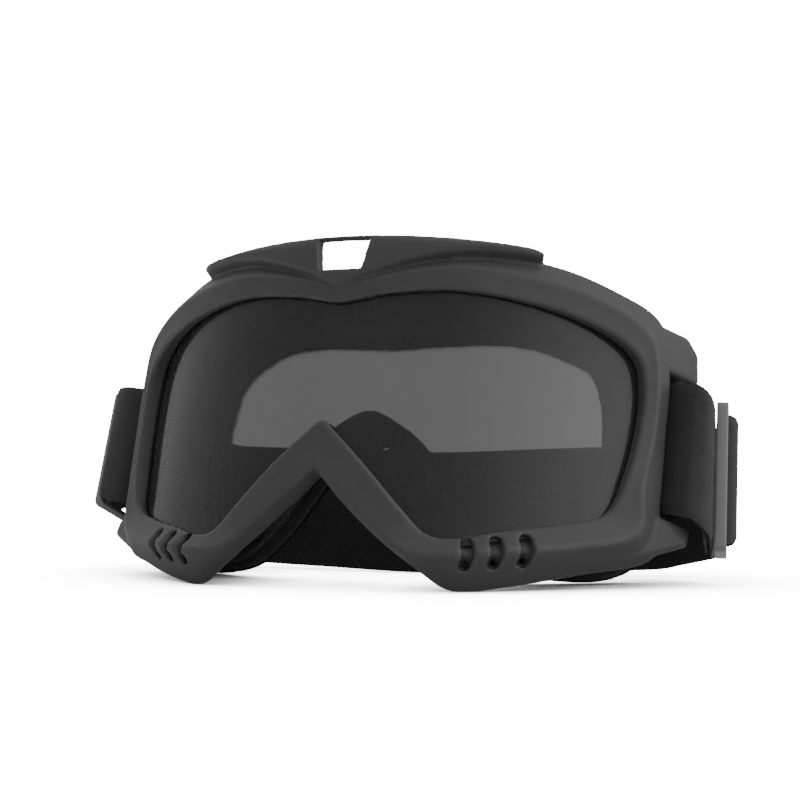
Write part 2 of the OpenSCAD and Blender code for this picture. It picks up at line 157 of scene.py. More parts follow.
def curve(rows, steps, closed=False):
    """A smooth curve through every row, with that many steps between rows."""
    rows = np.asarray(rows, float)
    n = len(rows)
    spans = n if closed else n - 1
    out = []
    for k in range(spans):
        if closed:
            a, b, c, d = (rows[(k + i) % n] for i in (-1, 0, 1, 2))
        else:
            a, b, c, d = rows[max(k - 1, 0)], rows[k], rows[k + 1], rows[min(k + 2, n - 1)]
        for i in range(steps):
            t = i / steps
            out.append(b + t * (c - a) / 2 + t * t * (a - 2.5 * b + 2 * c - 0.5 * d)
                       + t ** 3 * (1.5 * (b - c) + 0.5 * (d - a)))
    if not closed:
        out.append(rows[-1])
    return np.array(out)


def on_lens(s, h, d):
    """A place on the lens cylinder, d behind its front face."""
    s, h, d = np.broadcast_arrays(np.asarray(s, float), h, d)
    a = s / LENS_R
    return np.stack([(LENS_R - d) * np.sin(a), LENS_R - (LENS_R - d) * np.cos(a), h], -1)


def face_y(x):
    return FACE_DEPTH + FACE_R - np.sqrt(FACE_R ** 2 - np.asarray(x, float) ** 2)


def on_face(p, dy):
    return np.stack([p[..., 0], face_y(p[..., 0]) + dy, p[..., 1]], -1)


def mesh_object(name, points, faces, at_rest=True):
    """A mesh object from goggle-frame points, or from row-frame metres if at_rest is False."""
    mesh = bpy.data.meshes.new(name)
    where = place(points) if at_rest else np.asarray(points)
    mesh.from_pydata(where.tolist(), [], [list(map(int, f)) for f in faces])
    mesh.update()
    obj = bpy.data.objects.new(name, mesh)
    bpy.context.scene.collection.objects.link(obj)
    return obj


def ring_faces(n, m, joined):
    """Quads of a tube of n rings with m points each, capped unless it joins itself."""
    faces = []
    for i in range(n if joined else n - 1):
        for j in range(m):
            a, b = i * m + j, i * m + (j + 1) % m
            c, d = ((i + 1) % n) * m + (j + 1) % m, ((i + 1) % n) * m + j
            faces.append((a, b, c, d))
    if not joined:
        faces.append(tuple(range(m - 1, -1, -1)))
        faces.append(tuple((n - 1) * m + j for j in range(m)))
    return faces


def tube(name, rings, joined=False):
    rings = np.asarray(rings)
    n, m = rings.shape[:2]
    return mesh_object(name, rings.reshape(-1, 3), ring_faces(n, m, joined))


def fix_normals(obj):
    bm = bmesh.new()
    bm.from_mesh(obj.data)
    bmesh.ops.recalc_face_normals(bm, faces=bm.faces)
    bm.to_mesh(obj.data)
    bm.free()
    return obj


def ball_points(centre, r, rings=7, around=14):
    """Points of a small ball."""
    out = []
    for i in range(rings):
        a = math.pi * i / (rings - 1)
        for j in range(around):
            b = 2 * math.pi * j / around
            way = np.array([math.sin(a) * math.cos(b), math.sin(a) * math.sin(b), math.cos(a)])
            out.append(centre + r * way)
    return out


def hull(name, centres, r):
    """The convex skin round balls at these centres."""
    points = place([p for c in centres for p in ball_points(np.asarray(c, float), r)])
    bm = bmesh.new()
    for p in points:
        bm.verts.new(p)
    bmesh.ops.convex_hull(bm, input=bm.verts)
    bmesh.ops.delete(bm, geom=[v for v in bm.verts if not v.link_faces], context="VERTS")
    mesh = bpy.data.meshes.new(name)
    bm.to_mesh(mesh)
    bm.free()
    obj = bpy.data.objects.new(name, mesh)
    bpy.context.scene.collection.objects.link(obj)
    return obj


def applied(obj):
    """Puts an object's modifiers into its mesh."""
    bpy.context.view_layer.update()
    made = bpy.data.meshes.new_from_object(obj.evaluated_get(bpy.context.evaluated_depsgraph_get()))
    old = obj.data
    obj.modifiers.clear()
    obj.data = made
    bpy.data.meshes.remove(old)
    return obj


def cut(obj, cutters):
    """Takes the cutters out of obj and removes them."""
    for c in cutters:
        m = obj.modifiers.new("cut", "BOOLEAN")
        m.operation, m.solver, m.object = "DIFFERENCE", "MANIFOLD", c
    applied(obj)
    for c in cutters:
        bpy.data.objects.remove(c)
    return obj


def joined(name, objects):
    """One object that holds several meshes."""
    points, faces, base = [], [], 0
    for o in objects:
        co = np.array([v.co for v in o.data.vertices], float).reshape(-1, 3)
        points.append(co)
        faces += [[i + base for i in p.vertices] for p in o.data.polygons]
        base += len(co)
        bpy.data.objects.remove(o)
    return mesh_object(name, np.concatenate(points), faces, at_rest=False)


def smooth_shading(obj, sharp_deg=180.0):
    obj.data.polygons.foreach_set("use_smooth", [True] * len(obj.data.polygons))
    if sharp_deg < 180:
        obj.data.set_sharp_from_angle(angle=math.radians(sharp_deg))
    return obj


def coords(obj):
    co = np.zeros(len(obj.data.vertices) * 3)
    obj.data.vertices.foreach_get("co", co)
    return co.reshape(-1, 3)


def set_coords(obj, co):
    obj.data.vertices.foreach_set("co", np.asarray(co, float).ravel())
    obj.data.update()


def keep_above_table(obj, low=0.0):
    co = coords(obj)
    co[:, 2] = np.maximum(co[:, 2], low)
    set_coords(obj, co)
    return obj


def rough_noise(co, scale, seed):
    """Cheap smooth noise from -1 to 1, from a few turned sine waves."""
    rng = np.random.default_rng(seed)
    total = np.zeros(len(co))
    for _ in range(9):
        direction = unit(rng.normal(size=3))
        total += np.sin(co @ direction * 2 * math.pi / (scale * rng.uniform(0.7, 1.5)) + rng.uniform(0, 6.3))
    return total / 4.5


def displaced(obj, amount, scale, seed):
    """Moves every point along its normal by smooth noise; sizes in metres."""
    co = coords(obj)
    normals = np.zeros(len(co) * 3)
    obj.data.vertices.foreach_get("normal", normals)
    set_coords(obj, co + normals.reshape(-1, 3) * (rough_noise(co, scale, seed) * amount)[:, None])
    return obj


# ---------------------------------------------------------------- materials
def material(name):
    """A new node material; returns it, its node tree and its Principled shader."""
    m = bpy.data.materials.new(name)
    m.use_nodes = True
    return m, m.node_tree, m.node_tree.nodes["Principled BSDF"]


def node(tree, kind, inputs=None, **settings):
    n = tree.nodes.new(kind)
    for k, v in settings.items():
        setattr(n, k, v)
    for k, v in (inputs or {}).items():
        if isinstance(v, bpy.types.NodeSocket):
            tree.links.new(v, n.inputs[k])
        else:
            n.inputs[k].default_value = v
    return n


def object_coords(tree):
    return node(tree, "ShaderNodeTexCoord").outputs["Object"]


def noise(tree, vector, scale, detail=3.0, rough=0.55):
    return node(tree, "ShaderNodeTexNoise",
                {"Vector": vector, "Scale": scale, "Detail": detail, "Roughness": rough}).outputs["Fac"]


def ramp(tree, fac, low, high, x0=0.0, x1=1.0):
    """Maps fac from x0..x1 to low..high, clamped."""
    limits = {"Value": fac, "From Min": x0, "From Max": x1, "To Min": low, "To Max": high}
    return node(tree, "ShaderNodeMapRange", limits).outputs["Result"]


def maths(tree, op, a, b=0.0):
    return node(tree, "ShaderNodeMath", {0: a, 1: b}, operation=op).outputs[0]


def tint(tree, fac, dark, light):
    """A colour between two greys or colours."""
    mix = node(tree, "ShaderNodeMix", {"Factor": fac}, data_type="RGBA")
    mix.inputs[6].default_value = (*dark, 1)
    mix.inputs[7].default_value = (*light, 1)
    return mix.outputs[2]


def bump(tree, height, strength, distance, normal=None):
    n = node(tree, "ShaderNodeBump", {"Height": height, "Strength": strength, "Distance": distance})
    if normal is not None:
        tree.links.new(normal, n.inputs["Normal"])
    return n.outputs["Normal"]


def soft_touch():
    """Matte moulded TPU: fine grain, faint mould flow, crests rubbed a little smoother and painted lighter as
    a highlight along them.
    """
    m, t, bsdf = material("soft_touch_tpu")
    at = object_coords(t)
    grain = noise(t, at, 2600, 2)
    cloud = noise(t, at, 45, 4, 0.6)
    scuff = noise(t, at, 420, 5, 0.7)
    crest = node(t, "ShaderNodeAttribute", attribute_name="crest").outputs["Fac"]
    # Crest mask broken up by scuffs: it makes the crests smoother (rubbing) and also drives the painted
    # highlight on them.
    wear_and_highlight = maths(t, "MULTIPLY", crest, ramp(t, scuff, 0.35, 1.0, 0.35, 0.65))
    base = tint(t, ramp(t, cloud, 0, 1, 0.3, 0.7), (0.026, 0.026, 0.027), (0.032, 0.032, 0.034))
    # Painted highlight: the convex crests are mixed towards this paler grey.
    light = node(t, "ShaderNodeMix", {"Factor": maths(t, "MULTIPLY", wear_and_highlight, 0.55)}, data_type="RGBA")
    t.links.new(base, light.inputs[6])
    light.inputs[7].default_value = (0.05, 0.05, 0.053, 1)
    t.links.new(light.outputs[2], bsdf.inputs["Base Color"])
    rough = maths(t, "SUBTRACT", ramp(t, cloud, 0.54, 0.62, 0.3, 0.7), maths(t, "MULTIPLY", wear_and_highlight, 0.09))
    t.links.new(rough, bsdf.inputs["Roughness"])
    first = bump(t, grain, 0.35, 0.00006)
    t.links.new(bump(t, scuff, 0.12, 0.00008, first), bsdf.inputs["Normal"])
    bsdf.inputs["Specular IOR Level"].default_value = 0.45
    bsdf.inputs["Sheen Weight"].default_value = 0.08
    bsdf.inputs["Sheen Roughness"].default_value = 0.5
    return m


def smoke_lens():
    """Smoke polycarbonate: glossy, tinted, with faint wipe marks in its gloss."""
    m, t, bsdf = material("smoke_polycarbonate")
    at = object_coords(t)
    smear = noise(t, at, 60, 4, 0.6)
    t.links.new(ramp(t, smear, 0.085, 0.115, 0.35, 0.7), bsdf.inputs["Roughness"])
    colour = tint(t, noise(t, at, 18), (0.024, 0.024, 0.0245), (0.029, 0.029, 0.030))
    t.links.new(colour, bsdf.inputs["Base Color"])
    bsdf.inputs["IOR"].default_value = 1.586
    bsdf.inputs["Alpha"].default_value = 0.64
    bsdf.inputs["Specular IOR Level"].default_value = 0.26
    t.links.new(bump(t, noise(t, at, 25, 2), 0.02, 0.0002), bsdf.inputs["Normal"])
    return m


def foam(name, dark, light, pore, depth, rough=0.95):
    """Foam: cells at the given pore scale, darker in the pits."""
    m, t, bsdf = material(name)
    at = object_coords(t)
    pores = node(t, "ShaderNodeTexVoronoi", {"Vector": at, "Scale": pore, "Randomness": 1.0})
    cells = pores.outputs["Distance"]
    fluff = noise(t, at, pore * 1.7, 4, 0.7)
    height = maths(t, "ADD", cells, maths(t, "MULTIPLY", fluff, 0.6))
    t.links.new(tint(t, ramp(t, height, 0, 1, 0.35, 1.0), dark, light), bsdf.inputs["Base Color"])
    t.links.new(ramp(t, fluff, rough - 0.08, rough), bsdf.inputs["Roughness"])
    t.links.new(bump(t, height, 0.9, depth), bsdf.inputs["Normal"])
    bsdf.inputs["Specular IOR Level"].default_value = 0.2
    bsdf.inputs["Sheen Weight"].default_value = 0.35
    bsdf.inputs["Sheen Roughness"].default_value = 0.55
    bsdf.inputs["Sheen Tint"].default_value = (0.3, 0.3, 0.31, 1)
    return m


def elastic_webbing():
    """Black elastic: covered rubber warps along it, weft picks across it, darker between them."""
    m, t, bsdf = material("elastic_webbing")
    uv = node(t, "ShaderNodeUVMap", uv_map="weave").outputs["UV"]
    parts = node(t, "ShaderNodeSeparateXYZ", {"Vector": uv})
    along, across = parts.outputs["X"], parts.outputs["Y"]
    wobble = maths(t, "MULTIPLY", maths(t, "SUBTRACT", noise(t, uv, 0.9, 3), 0.5), 0.55)
    warp = maths(t, "PINGPONG", maths(t, "ADD", across, maths(t, "MULTIPLY", wobble, 0.25)), 0.36)
    shift = maths(t, "MULTIPLY", maths(t, "FLOOR", maths(t, "DIVIDE", across, 0.72)), 0.3)
    pick = maths(t, "PINGPONG", maths(t, "ADD", maths(t, "ADD", along, shift), wobble), 0.3)
    warp_h = maths(t, "POWER", maths(t, "DIVIDE", warp, 0.36), 0.6)
    pick_h = maths(t, "POWER", maths(t, "DIVIDE", pick, 0.3), 0.7)
    height = maths(t, "ADD", maths(t, "MULTIPLY", warp_h, 0.45), maths(t, "MULTIPLY", pick_h, 0.55))
    fibre = noise(t, uv, 9, 4, 0.7)
    fuzz = maths(t, "MULTIPLY", fibre, 0.5)
    full = maths(t, "ADD", height, fuzz)
    patches = ramp(t, noise(t, uv, 0.12, 3), 0.85, 1.1, 0.3, 0.7)
    tone = maths(t, "MULTIPLY", ramp(t, full, 0, 1, 0.4, 1.35), patches)
    t.links.new(tint(t, tone, (0.010, 0.0098, 0.0098), (0.062, 0.059, 0.059)), bsdf.inputs["Base Color"])
    t.links.new(ramp(t, fibre, 0.72, 0.92), bsdf.inputs["Roughness"])
    t.links.new(bump(t, full, 0.8, 0.00016), bsdf.inputs["Normal"])
    bsdf.inputs["Specular IOR Level"].default_value = 0.35
    bsdf.inputs["Sheen Weight"].default_value = 0.22
    bsdf.inputs["Sheen Roughness"].default_value = 0.45
    bsdf.inputs["Sheen Tint"].default_value = (0.35, 0.34, 0.34, 1)
    return m


def slider_acetal():
    """Satin grey acetal with fine moulding lines."""
    m, t, bsdf = material("satin_acetal")
    at = object_coords(t)
    stretched = node(t, "ShaderNodeMapping", {"Vector": at, "Scale": (1.0, 1.0, 0.12)}).outputs["Vector"]
    lines = noise(t, stretched, 900, 4, 0.6)
    cloud = noise(t, at, 120, 3)
    t.links.new(tint(t, cloud, (0.105, 0.105, 0.113), (0.135, 0.135, 0.145)), bsdf.inputs["Base Color"])
    t.links.new(ramp(t, lines, 0.3, 0.48), bsdf.inputs["Roughness"])
    t.links.new(bump(t, lines, 0.25, 0.00005), bsdf.inputs["Normal"])
    return m


def thread_material():
    m, t, bsdf = material("black_thread")
    at = object_coords(t)
    twist = node(t, "ShaderNodeTexWave", {"Vector": at, "Scale": 900.0, "Distortion": 1.5}).outputs["Fac"]
    t.links.new(tint(t, twist, (0.018, 0.018, 0.019), (0.06, 0.06, 0.062)), bsdf.inputs["Base Color"])
    t.links.new(ramp(t, twist, 0.45, 0.65), bsdf.inputs["Roughness"])
    t.links.new(bump(t, twist, 0.5, 0.0001), bsdf.inputs["Normal"])
    return m


TPU = soft_touch()
LENS_MATERIAL = smoke_lens()
DENSE_FOAM = foam("dense_foam", (0.010, 0.010, 0.010), (0.030, 0.030, 0.031), 2600, 0.00008, 0.9)
SOFT_FOAM = foam("open_cell_foam", (0.005, 0.005, 0.005), (0.028, 0.028, 0.028), 1500, 0.0002)
FLEECE = foam("brushed_fleece", (0.006, 0.006, 0.006), (0.026, 0.026, 0.026), 3200, 0.00018)
FILTER_FOAM = foam("filter_foam", (0.003, 0.003, 0.003), (0.035, 0.035, 0.036), 900, 0.0004)
WEBBING = elastic_webbing()
ACETAL = slider_acetal()
THREAD = thread_material()


def finish_piece(obj, mat, body, nodes=(), sharp_deg=180.0):
    """Gives a piece its material, shading, body and the CAD nodes it stands for."""
    obj.data.materials.clear()
    obj.data.materials.append(mat)
    smooth_shading(obj, sharp_deg)
    if body:
        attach(obj, body)
    if nodes:
        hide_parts(*nodes)
    return obj


# ---------------------------------------------------------------- frame
def stations(steps):
    mirrored = FRAME_ROWS[-2:0:-1] * MIRRORED
    return curve(np.concatenate([FRAME_ROWS, mirrored]), steps, closed=True)


STATIONS = stations(14)


def frame_section(r):
    """The frame's cross-section at one station, as a closed loop of points."""
    edge, crease, rim, outer, inner = (r[i:i + 2] for i in (0, 2, 4, 6, 8))
    depth, rim_depth, skirt, share = r[10:14]
    out = unit(crease - edge)

    def at(p, d):
        return on_lens(p[0], p[1], d)

    bulge = lerp(crease, rim, 0.55)
    return np.array([
        at(edge, share * depth), at(edge + 0.9 * out, (share + 0.12) * depth),
        at(lerp(edge, crease, 0.5), lerp(share + 0.06, 1.0, 0.5) * depth),
        at(lerp(edge, crease, 0.85), lerp(share, 1.0, 0.93) * depth), at(crease, depth + 0.1),
        at(lerp(crease, rim, 0.15), depth + 0.6), at(bulge, lerp(depth + 0.6, rim_depth, 0.5) - 0.1),
        at(rim, rim_depth), at(rim, rim_depth + 1.8),
        at(lerp(edge, rim, skirt), SKIRT_FRONT), on_face(lerp(inner, outer, skirt), -FLANGE_T - 0.4),
        on_face(outer, -FLANGE_T), on_face(outer, 0), on_face(lerp(outer, inner, 0.5), 0), on_face(inner, 0),
        at(edge + 1.4 * out, SKIRT_FRONT), at(edge, LEDGE_BACK), at(edge, GROOVE_BACK),
        at(edge + GROOVE_DEPTH * out, GROOVE_BACK), at(edge + GROOVE_DEPTH * out, LIP_IN), at(edge, LIP_IN)])


def shroud_low(s):
    return 42.5 + 12.5 * math.sin(min(abs(s) / 48, 1) * math.pi / 2)


def brow_shroud():
    """Raised plate over the brow, tapering towards its ends."""
    rings = []
    for s in np.linspace(-SHROUD_S - 0.5, SHROUD_S + 0.5, 150):
        end = 1 - (abs(s) / (SHROUD_S + 2)) ** 24
        out = lerp(-2, SHROUD_OUT, end)
        low = shroud_low(s)
        top = lerp(low + 1.5, BROW_TOP - 0.0003 * s * s, end)
        rings.append([on_lens(s, low - 2, 0.8), on_lens(s, low + 0.2, out + 0.9), on_lens(s, low + 1.5, out),
                      on_lens(s, lerp(low + 1.5, top, 0.6), out + 0.05), on_lens(s, top - 1, out + 0.6),
                      on_lens(s, top, out + 1.5), on_lens(s, top, out + 1.3 + SHROUD_T),
                      on_lens(s, low + 2, out + 1.2 + SHROUD_T), on_lens(s, low - 2, 2.4)])
    return fix_normals(tube("shroud", rings))


def window_cutter():
    low, high = WINDOW_BOTTOM_W / 2, WINDOW_TOP_W / 2
    outline = [(-low, WINDOW_LOW), (low, WINDOW_LOW), (high, WINDOW_HIGH), (-high, WINDOW_HIGH)]
    return fix_normals(tube("window", [[(x, y, z) for x, z in outline] for y in (-35, 25)]))


def strap_mount(side):
    """Shelves above and below the strap, with the post that it loops round."""
    shelf_r = 1.6
    top = SLOT_MID + SLOT_HALF + shelf_r
    foot = SLOT_MID - SLOT_HALF - shelf_r
    upper = [[83.5, 36, 37.4], [86.8, 39, 32.4], [88.6, 42.4, 40.6], [93.3, 50, 39.6], [94.8, 54.5, 36.2],
             [95.6, 54.5, top], [90.6, 43.8, top + 0.6], [84, 52, 37], [85, 56, top], [83, 45, top]]
    lower = [[84, 38, foot - 9], [92.4, 43.2, foot - 10.6], [85.5, 37, foot - 14.4], [99.6, 47.4, foot - 7],
             [99.6, 48.4, foot - 4], [91.4, 41.4, foot - 1.4], [89.5, 44, foot - 0.4], [85, 53, foot - 2],
             [94, 52.5, foot - 4.5], [83, 44, foot], [84, 52, foot - 8]]
    flip = np.array([side, 1, 1])
    post = [[POST_AT[0] + POST_R * math.cos(a), POST_AT[1] + POST_R * math.sin(a)]
            for a in np.linspace(0, 2 * math.pi, 24, endpoint=False)]
    bar = [[(x, y, z) for x, y in post] for z in (foot - 4, top)]
    return [hull("shelf", np.array(shelf) * flip, shelf_r) for shelf in (upper, lower)] + [
        fix_normals(tube("post", np.array(bar) * flip))]


def crease_height(s):
    """Height of the lower crease at a place round the lens."""
    rows = FRAME_ROWS[9:14][::-1]
    return float(np.interp(s, rows[:, 2], rows[:, 3]))


def crease_depth(s, h):
    """Depth of the frame's front surface near the lower crease."""
    rows = FRAME_ROWS[9:14][::-1]
    depth = float(np.interp(s, rows[:, 2], rows[:, 10]))
    share = float(np.interp(s, rows[:, 2], rows[:, 13]))
    edge = float(np.interp(s, rows[:, 0], rows[:, 1]))
    rim = float(np.interp(s, rows[:, 4], rows[:, 5]))
    rim_depth = float(np.interp(s, rows[:, 4], rows[:, 11]))
    middle = crease_height(s)
    if h > middle:
        return lerp(depth, share * depth, min((h - middle) / (edge - middle), 1.2))
    return lerp(depth, rim_depth, (middle - h) / (middle - rim))


def chevron_cutters(s0, side):
    """A bevelled slot across the crease of a lower lobe, with a round hole through its foot."""
    middle = crease_height(s0)
    path = curve([[s0 - 0.5, middle + 4.9], [s0 - 0.1, middle + 2.4], [s0 + 0.6, middle],
                  [s0 - 0.1, middle - 2.4], [s0 - 0.6, middle - 4.6]], 6)
    rings = []
    for k, (s, h) in enumerate(path):
        t = k / (len(path) - 1)
        surface = crease_depth(s, h)
        floor = surface + 3.2 + 0.4 * t
        taper = min(1.0, 0.55 + 3.2 * min(t, 1 - t))
        half_section = [(2.5 * taper, surface - 0.7), (1.9 * taper, surface + 0.5), (1.7 * taper, floor)]
        ring = [on_lens(side * (s - wide), h, d) for wide, d in half_section]
        ring += [on_lens(side * (s + wide), h, d) for wide, d in half_section[::-1]]
        rings.append(ring)
    slot = fix_normals(tube("slot", rings))
    foot = path[-6]
    surface = crease_depth(foot[0], foot[1])
    hole = [on_lens(side * foot[0], foot[1] + 0.6, surface + d) for d in (1.0, 9.0)]
    return [slot, hull("hole", hole, 1.0)]


def nose_vent(row, share, side):
    """A rounded slot through the wall beside the nose."""
    r = lerp(FRAME_ROWS[row], FRAME_ROWS[row + 1], share)
    a, b = on_face(r[6:8], -6), on_face(r[8:10], -6)
    c, d = on_face(r[6:8], -12), on_face(r[8:10], -12)
    way = unit(b - a)
    flip = np.array([side, 1, 1])
    return hull("nose_vent", [p * flip for p in (a - 5 * way, b + 6 * way, c - 5 * way, d + 6 * way)], 2.0)


def top_vent(x):
    centres = [[x + dx, float(face_y(x)) - 12, z] for dx in (-4, 4) for z in (34, 52)]
    return hull("top_vent", centres, 1.5)


CREST_FROM, CREST_SPAN = 0.015, 0.10


def crest_attribute(obj):
    """How convex each point is, from 0 to 1, for the rubbed crests and the painted highlight along them."""
    mesh = obj.data
    co = coords(obj)
    edges = np.zeros(len(mesh.edges) * 2, np.int64)
    mesh.edges.foreach_get("vertices", edges)
    a, b = edges.reshape(-1, 2).T
    normals = np.zeros(len(co) * 3)
    mesh.vertices.foreach_get("normal", normals)
    normals = normals.reshape(-1, 3)
    count = np.bincount(a, minlength=len(co)) + np.bincount(b, minlength=len(co))

    def spread(values):
        out = np.zeros_like(values)
        np.add.at(out, a, values[b])
        np.add.at(out, b, values[a])
        return out / np.maximum(count, 1).reshape((-1,) + (1,) * (values.ndim - 1))

    away = spread(co) - co
    size = np.linalg.norm(co[a] - co[b], axis=1).mean()
    convex = -(away * normals).sum(1) / size
    for _ in range(5):
        convex = spread(convex)
    crest = np.clip((convex - CREST_FROM) / CREST_SPAN, 0, 1)
    layer = mesh.attributes.new("crest", "FLOAT", "POINT")
    layer.data.foreach_set("value", crest.astype(np.float32))


def build_frame():
    rim = fix_normals(tube("rim", [frame_section(r) for r in STATIONS], joined=True))
    cutters = [c for side in (1, -1) for s in VENT_S for c in chevron_cutters(s, side)]
    cutters += [nose_vent(row, share, side) for side in (1, -1) for row, share in NOSE_VENTS]
    cutters += [top_vent(x) for x in TOP_VENT_X]
    cut(rim, cutters)
    shroud = cut(brow_shroud(), [window_cutter()])
    body = joined("frame_shell", [rim, shroud] + strap_mount(1) + strap_mount(-1))
    remesh = body.modifiers.new("remesh", "REMESH")
    remesh.mode, remesh.voxel_size, remesh.adaptivity = "VOXEL", 0.55 * MM, 0
    relax = body.modifiers.new("relax", "SMOOTH")
    relax.factor, relax.iterations = 0.5, 4
    applied(body)
    cut(body, [window_cutter()])
    keep_above_table(body)
    crest_attribute(body)
    return finish_piece(body, TPU, "goggle", ["frame"])


build_frame()


# ---------------------------------------------------------------- lens
def lens_outline():
    """Lowest and highest edge of the lens at places round it, where it reaches into its groove."""
    edge, crease = STATIONS[:, 0:2], STATIONS[:, 2:4]
    p = edge + LENS_BITE * unit(crease - edge)
    last = int(np.argmax(p[:, 0]))
    half = len(p) // 2
    top, bottom = p[:last + 1], p[last:half + 1][::-1]
    place_s = p[last, 0] * np.sin(np.linspace(0, math.pi / 2, 110))
    high = np.interp(place_s, np.maximum.accumulate(top[:, 0]), top[:, 1])
    low = np.interp(place_s, np.maximum.accumulate(bottom[:, 0]), bottom[:, 1])
    return (np.concatenate([-place_s[:0:-1], place_s]), np.concatenate([low[:0:-1], low]),
            np.concatenate([high[:0:-1], high]))


def build_lens():
    s, low, high = lens_outline()
    rows = 26
    rings = []
    for k in range(len(s)):
        up = np.linspace(low[k], max(high[k], low[k] + 0.2), rows)
        rings.append(np.concatenate([on_lens(s[k], up, 0.0), on_lens(s[k], up[::-1], LENS_T)]))
    lens = fix_normals(tube("lens_pane", rings))
    return finish_piece(lens, LENS_MATERIAL, "goggle", ["lens"], sharp_deg=40)


build_lens()


# ---------------------------------------------------------------- face foam and vent foam
def foam_ring(name, start, stop, inset, round_r, lift, mat, nodes, seed):
    """A layer of face foam between two depths behind the flange, with rounded corners."""
    rings = []
    corner = [(1 - math.cos(a), 1 - math.sin(a)) for a in np.linspace(0, math.pi / 2, 5)]
    turned = [(cy, cx) for cx, cy in corner]
    for r in STATIONS[::2]:
        outer, inner = r[6:8], r[8:10]
        v = unit(outer - inner)
        a, b = inner + inset * v, outer - inset * v
        wide = np.linalg.norm(b - a)
        q = min(round_r, 0.45 * (stop - start), 0.45 * wide)
        shape = []
        for x in np.linspace(0, 1, 8)[1:-1]:
            shape.append((lerp(q, wide - q, x), start))
        shape += [(wide - q * cy, lerp(start, start + q, cx)) for cx, cy in turned[::-1]]
        for x in np.linspace(0, 1, 6)[1:-1]:
            shape.append((wide + lift * math.sin(math.pi * x), lerp(start + q, stop - q, x)))
        shape += [(wide - q * cx, stop - q * cy) for cx, cy in corner]
        for x in np.linspace(1, 0, 8)[1:-1]:
            shape.append((lerp(q, wide - q, x), stop + lift * math.sin(math.pi * x)))
        shape += [(q * cx, stop - q * cy) for cx, cy in corner[::-1]]
        for x in np.linspace(1, 0, 6)[1:-1]:
            shape.append((-lift * math.sin(math.pi * x), lerp(start + q, stop - q, x)))
        shape += [(q * cy, lerp(start, start + q, cx)) for cx, cy in turned]
        rings.append([on_face(a + u * v, d) for u, d in shape])
    obj = fix_normals(tube(name, rings, joined=True))
    displaced(obj, 0.12 * MM, 2.4 * MM, seed)
    keep_above_table(obj, 0.02 * MM)
    return finish_piece(obj, mat, "goggle", nodes)


foam_ring("foam_base_layer", 0.3, BASE_T, 0.6, 0.3, 0.0,
          DENSE_FOAM, ["foam_base"], 3)
foam_ring("foam_core_layer", BASE_T + GAP, BASE_T + CORE_T, 0.8, 1.2, 0.35,
          SOFT_FOAM, ["foam_core"], 4)
fleece = foam_ring("foam_fleece_layer", BASE_T + CORE_T + GAP, BASE_T + CORE_T + FLEECE_T, 1.2, 1.0, 0.3,
                   FLEECE, ["foam_fleece"], 5)


FIBRE_R = 0.055 * MM
FIBRE_ROOT = 0.1 * MM
OPENING_CENTRE = [0, 45, 8]


def fuzz(name, base, count, length, body, mat, slot, lean):
    """Short fibres that stand on a mesh, most of them round its opening, each a thin closed spike."""
    mesh = base.data
    mesh.calc_loop_triangles()
    tris = np.zeros(len(mesh.loop_triangles) * 3, np.int64)
    mesh.loop_triangles.foreach_get("vertices", tris)
    co = coords(base)
    a, b, c = (co[i] for i in tris.reshape(-1, 3).T)
    normal = np.cross(b - a, c - a)
    area = np.linalg.norm(normal, axis=1)
    inward = place([OPENING_CENTRE])[0] - (a + b + c) / 3
    inward[:, 1] = 0
    facing = np.clip((unit(normal) * unit(inward)).sum(1), 0, 1)
    weight = area * (0.12 + 3 * facing ** 3)
    pick = RNG.choice(len(area), count, p=weight / weight.sum())
    u, v = RNG.random((2, count))
    over = u + v > 1
    u[over], v[over] = 1 - u[over], 1 - v[over]
    root = a[pick] + u[:, None] * (b - a)[pick] + v[:, None] * (c - a)[pick]
    up = unit(unit(normal[pick]) + lean * RNG.normal(size=(count, 3)))
    tip = root + up * (length * RNG.uniform(0.45, 1.0, count))[:, None]
    side = unit(np.cross(up, RNG.normal(size=(count, 3))))
    other = np.cross(up, side)
    points = []
    for k in range(3):
        angle = 2 * math.pi * k / 3
        foot = FIBRE_R * (math.cos(angle) * side + math.sin(angle) * other)
        points.append(root + foot - up * FIBRE_ROOT)
    points = np.stack([*points, tip], 1)
    low = points[:, :, 2].min(1)
    points = points[low > 0.0].reshape(-1, 3)
    faces = []
    for k in range(0, len(points), 4):
        faces += [(k, k + 2, k + 1), (k, k + 1, k + 3), (k + 1, k + 2, k + 3), (k + 2, k, k + 3)]
    return finish_piece(mesh_object(name, points, faces, at_rest=False), mat, body)


fuzz("fleece_fuzz", fleece, 22000, 2.0 * MM, "goggle", FLEECE, "fleece", 0.6)


def pad(name, corners, mat, nodes, seed):
    """A thin pad of filter foam from rings of four corners."""
    rings = []
    for ring in corners:
        ring = np.asarray(ring)
        points = []
        for k, n in enumerate((6, 3, 6, 3)):
            points += [lerp(ring[k], ring[(k + 1) % 4], i / n) for i in range(n)]
        rings.append(points)
    obj = fix_normals(tube(name, rings))
    displaced(obj, 0.12 * MM, 1.3 * MM, seed)
    return finish_piece(obj, mat, "goggle", nodes)


def lower_pad(side):
    rings = []
    for t in np.linspace(0, 1, 40):
        s, lift = lerp(46.5, 70, t) * side, 7 * t
        rings.append([on_lens(s, -45.8 + lift, 5.6), on_lens(s, -41.6 + lift, 5.6),
                      on_lens(s, -41.6 + lift, 7.4), on_lens(s, -45.8 + lift, 7.4)])
    return rings


def top_pad():
    rings = []
    for x in np.linspace(-56, 56, 150):
        y, z = float(face_y(x)), 46.9 - 0.0006 * x * x
        rings.append([(x, y - 18, z), (x, y - 18, z + 2), (x, y - 6, z + 2), (x, y - 6, z)])
    return rings


pad("top_vent_pad", top_pad(), FILTER_FOAM, ["top_vent_foam"], 11)
for side, word in ((1, "right"), (-1, "left")):
    pad(f"{word}_lower_vent_pad", lower_pad(side), FILTER_FOAM, [f"{word}_lower_vent_foam"], 12)


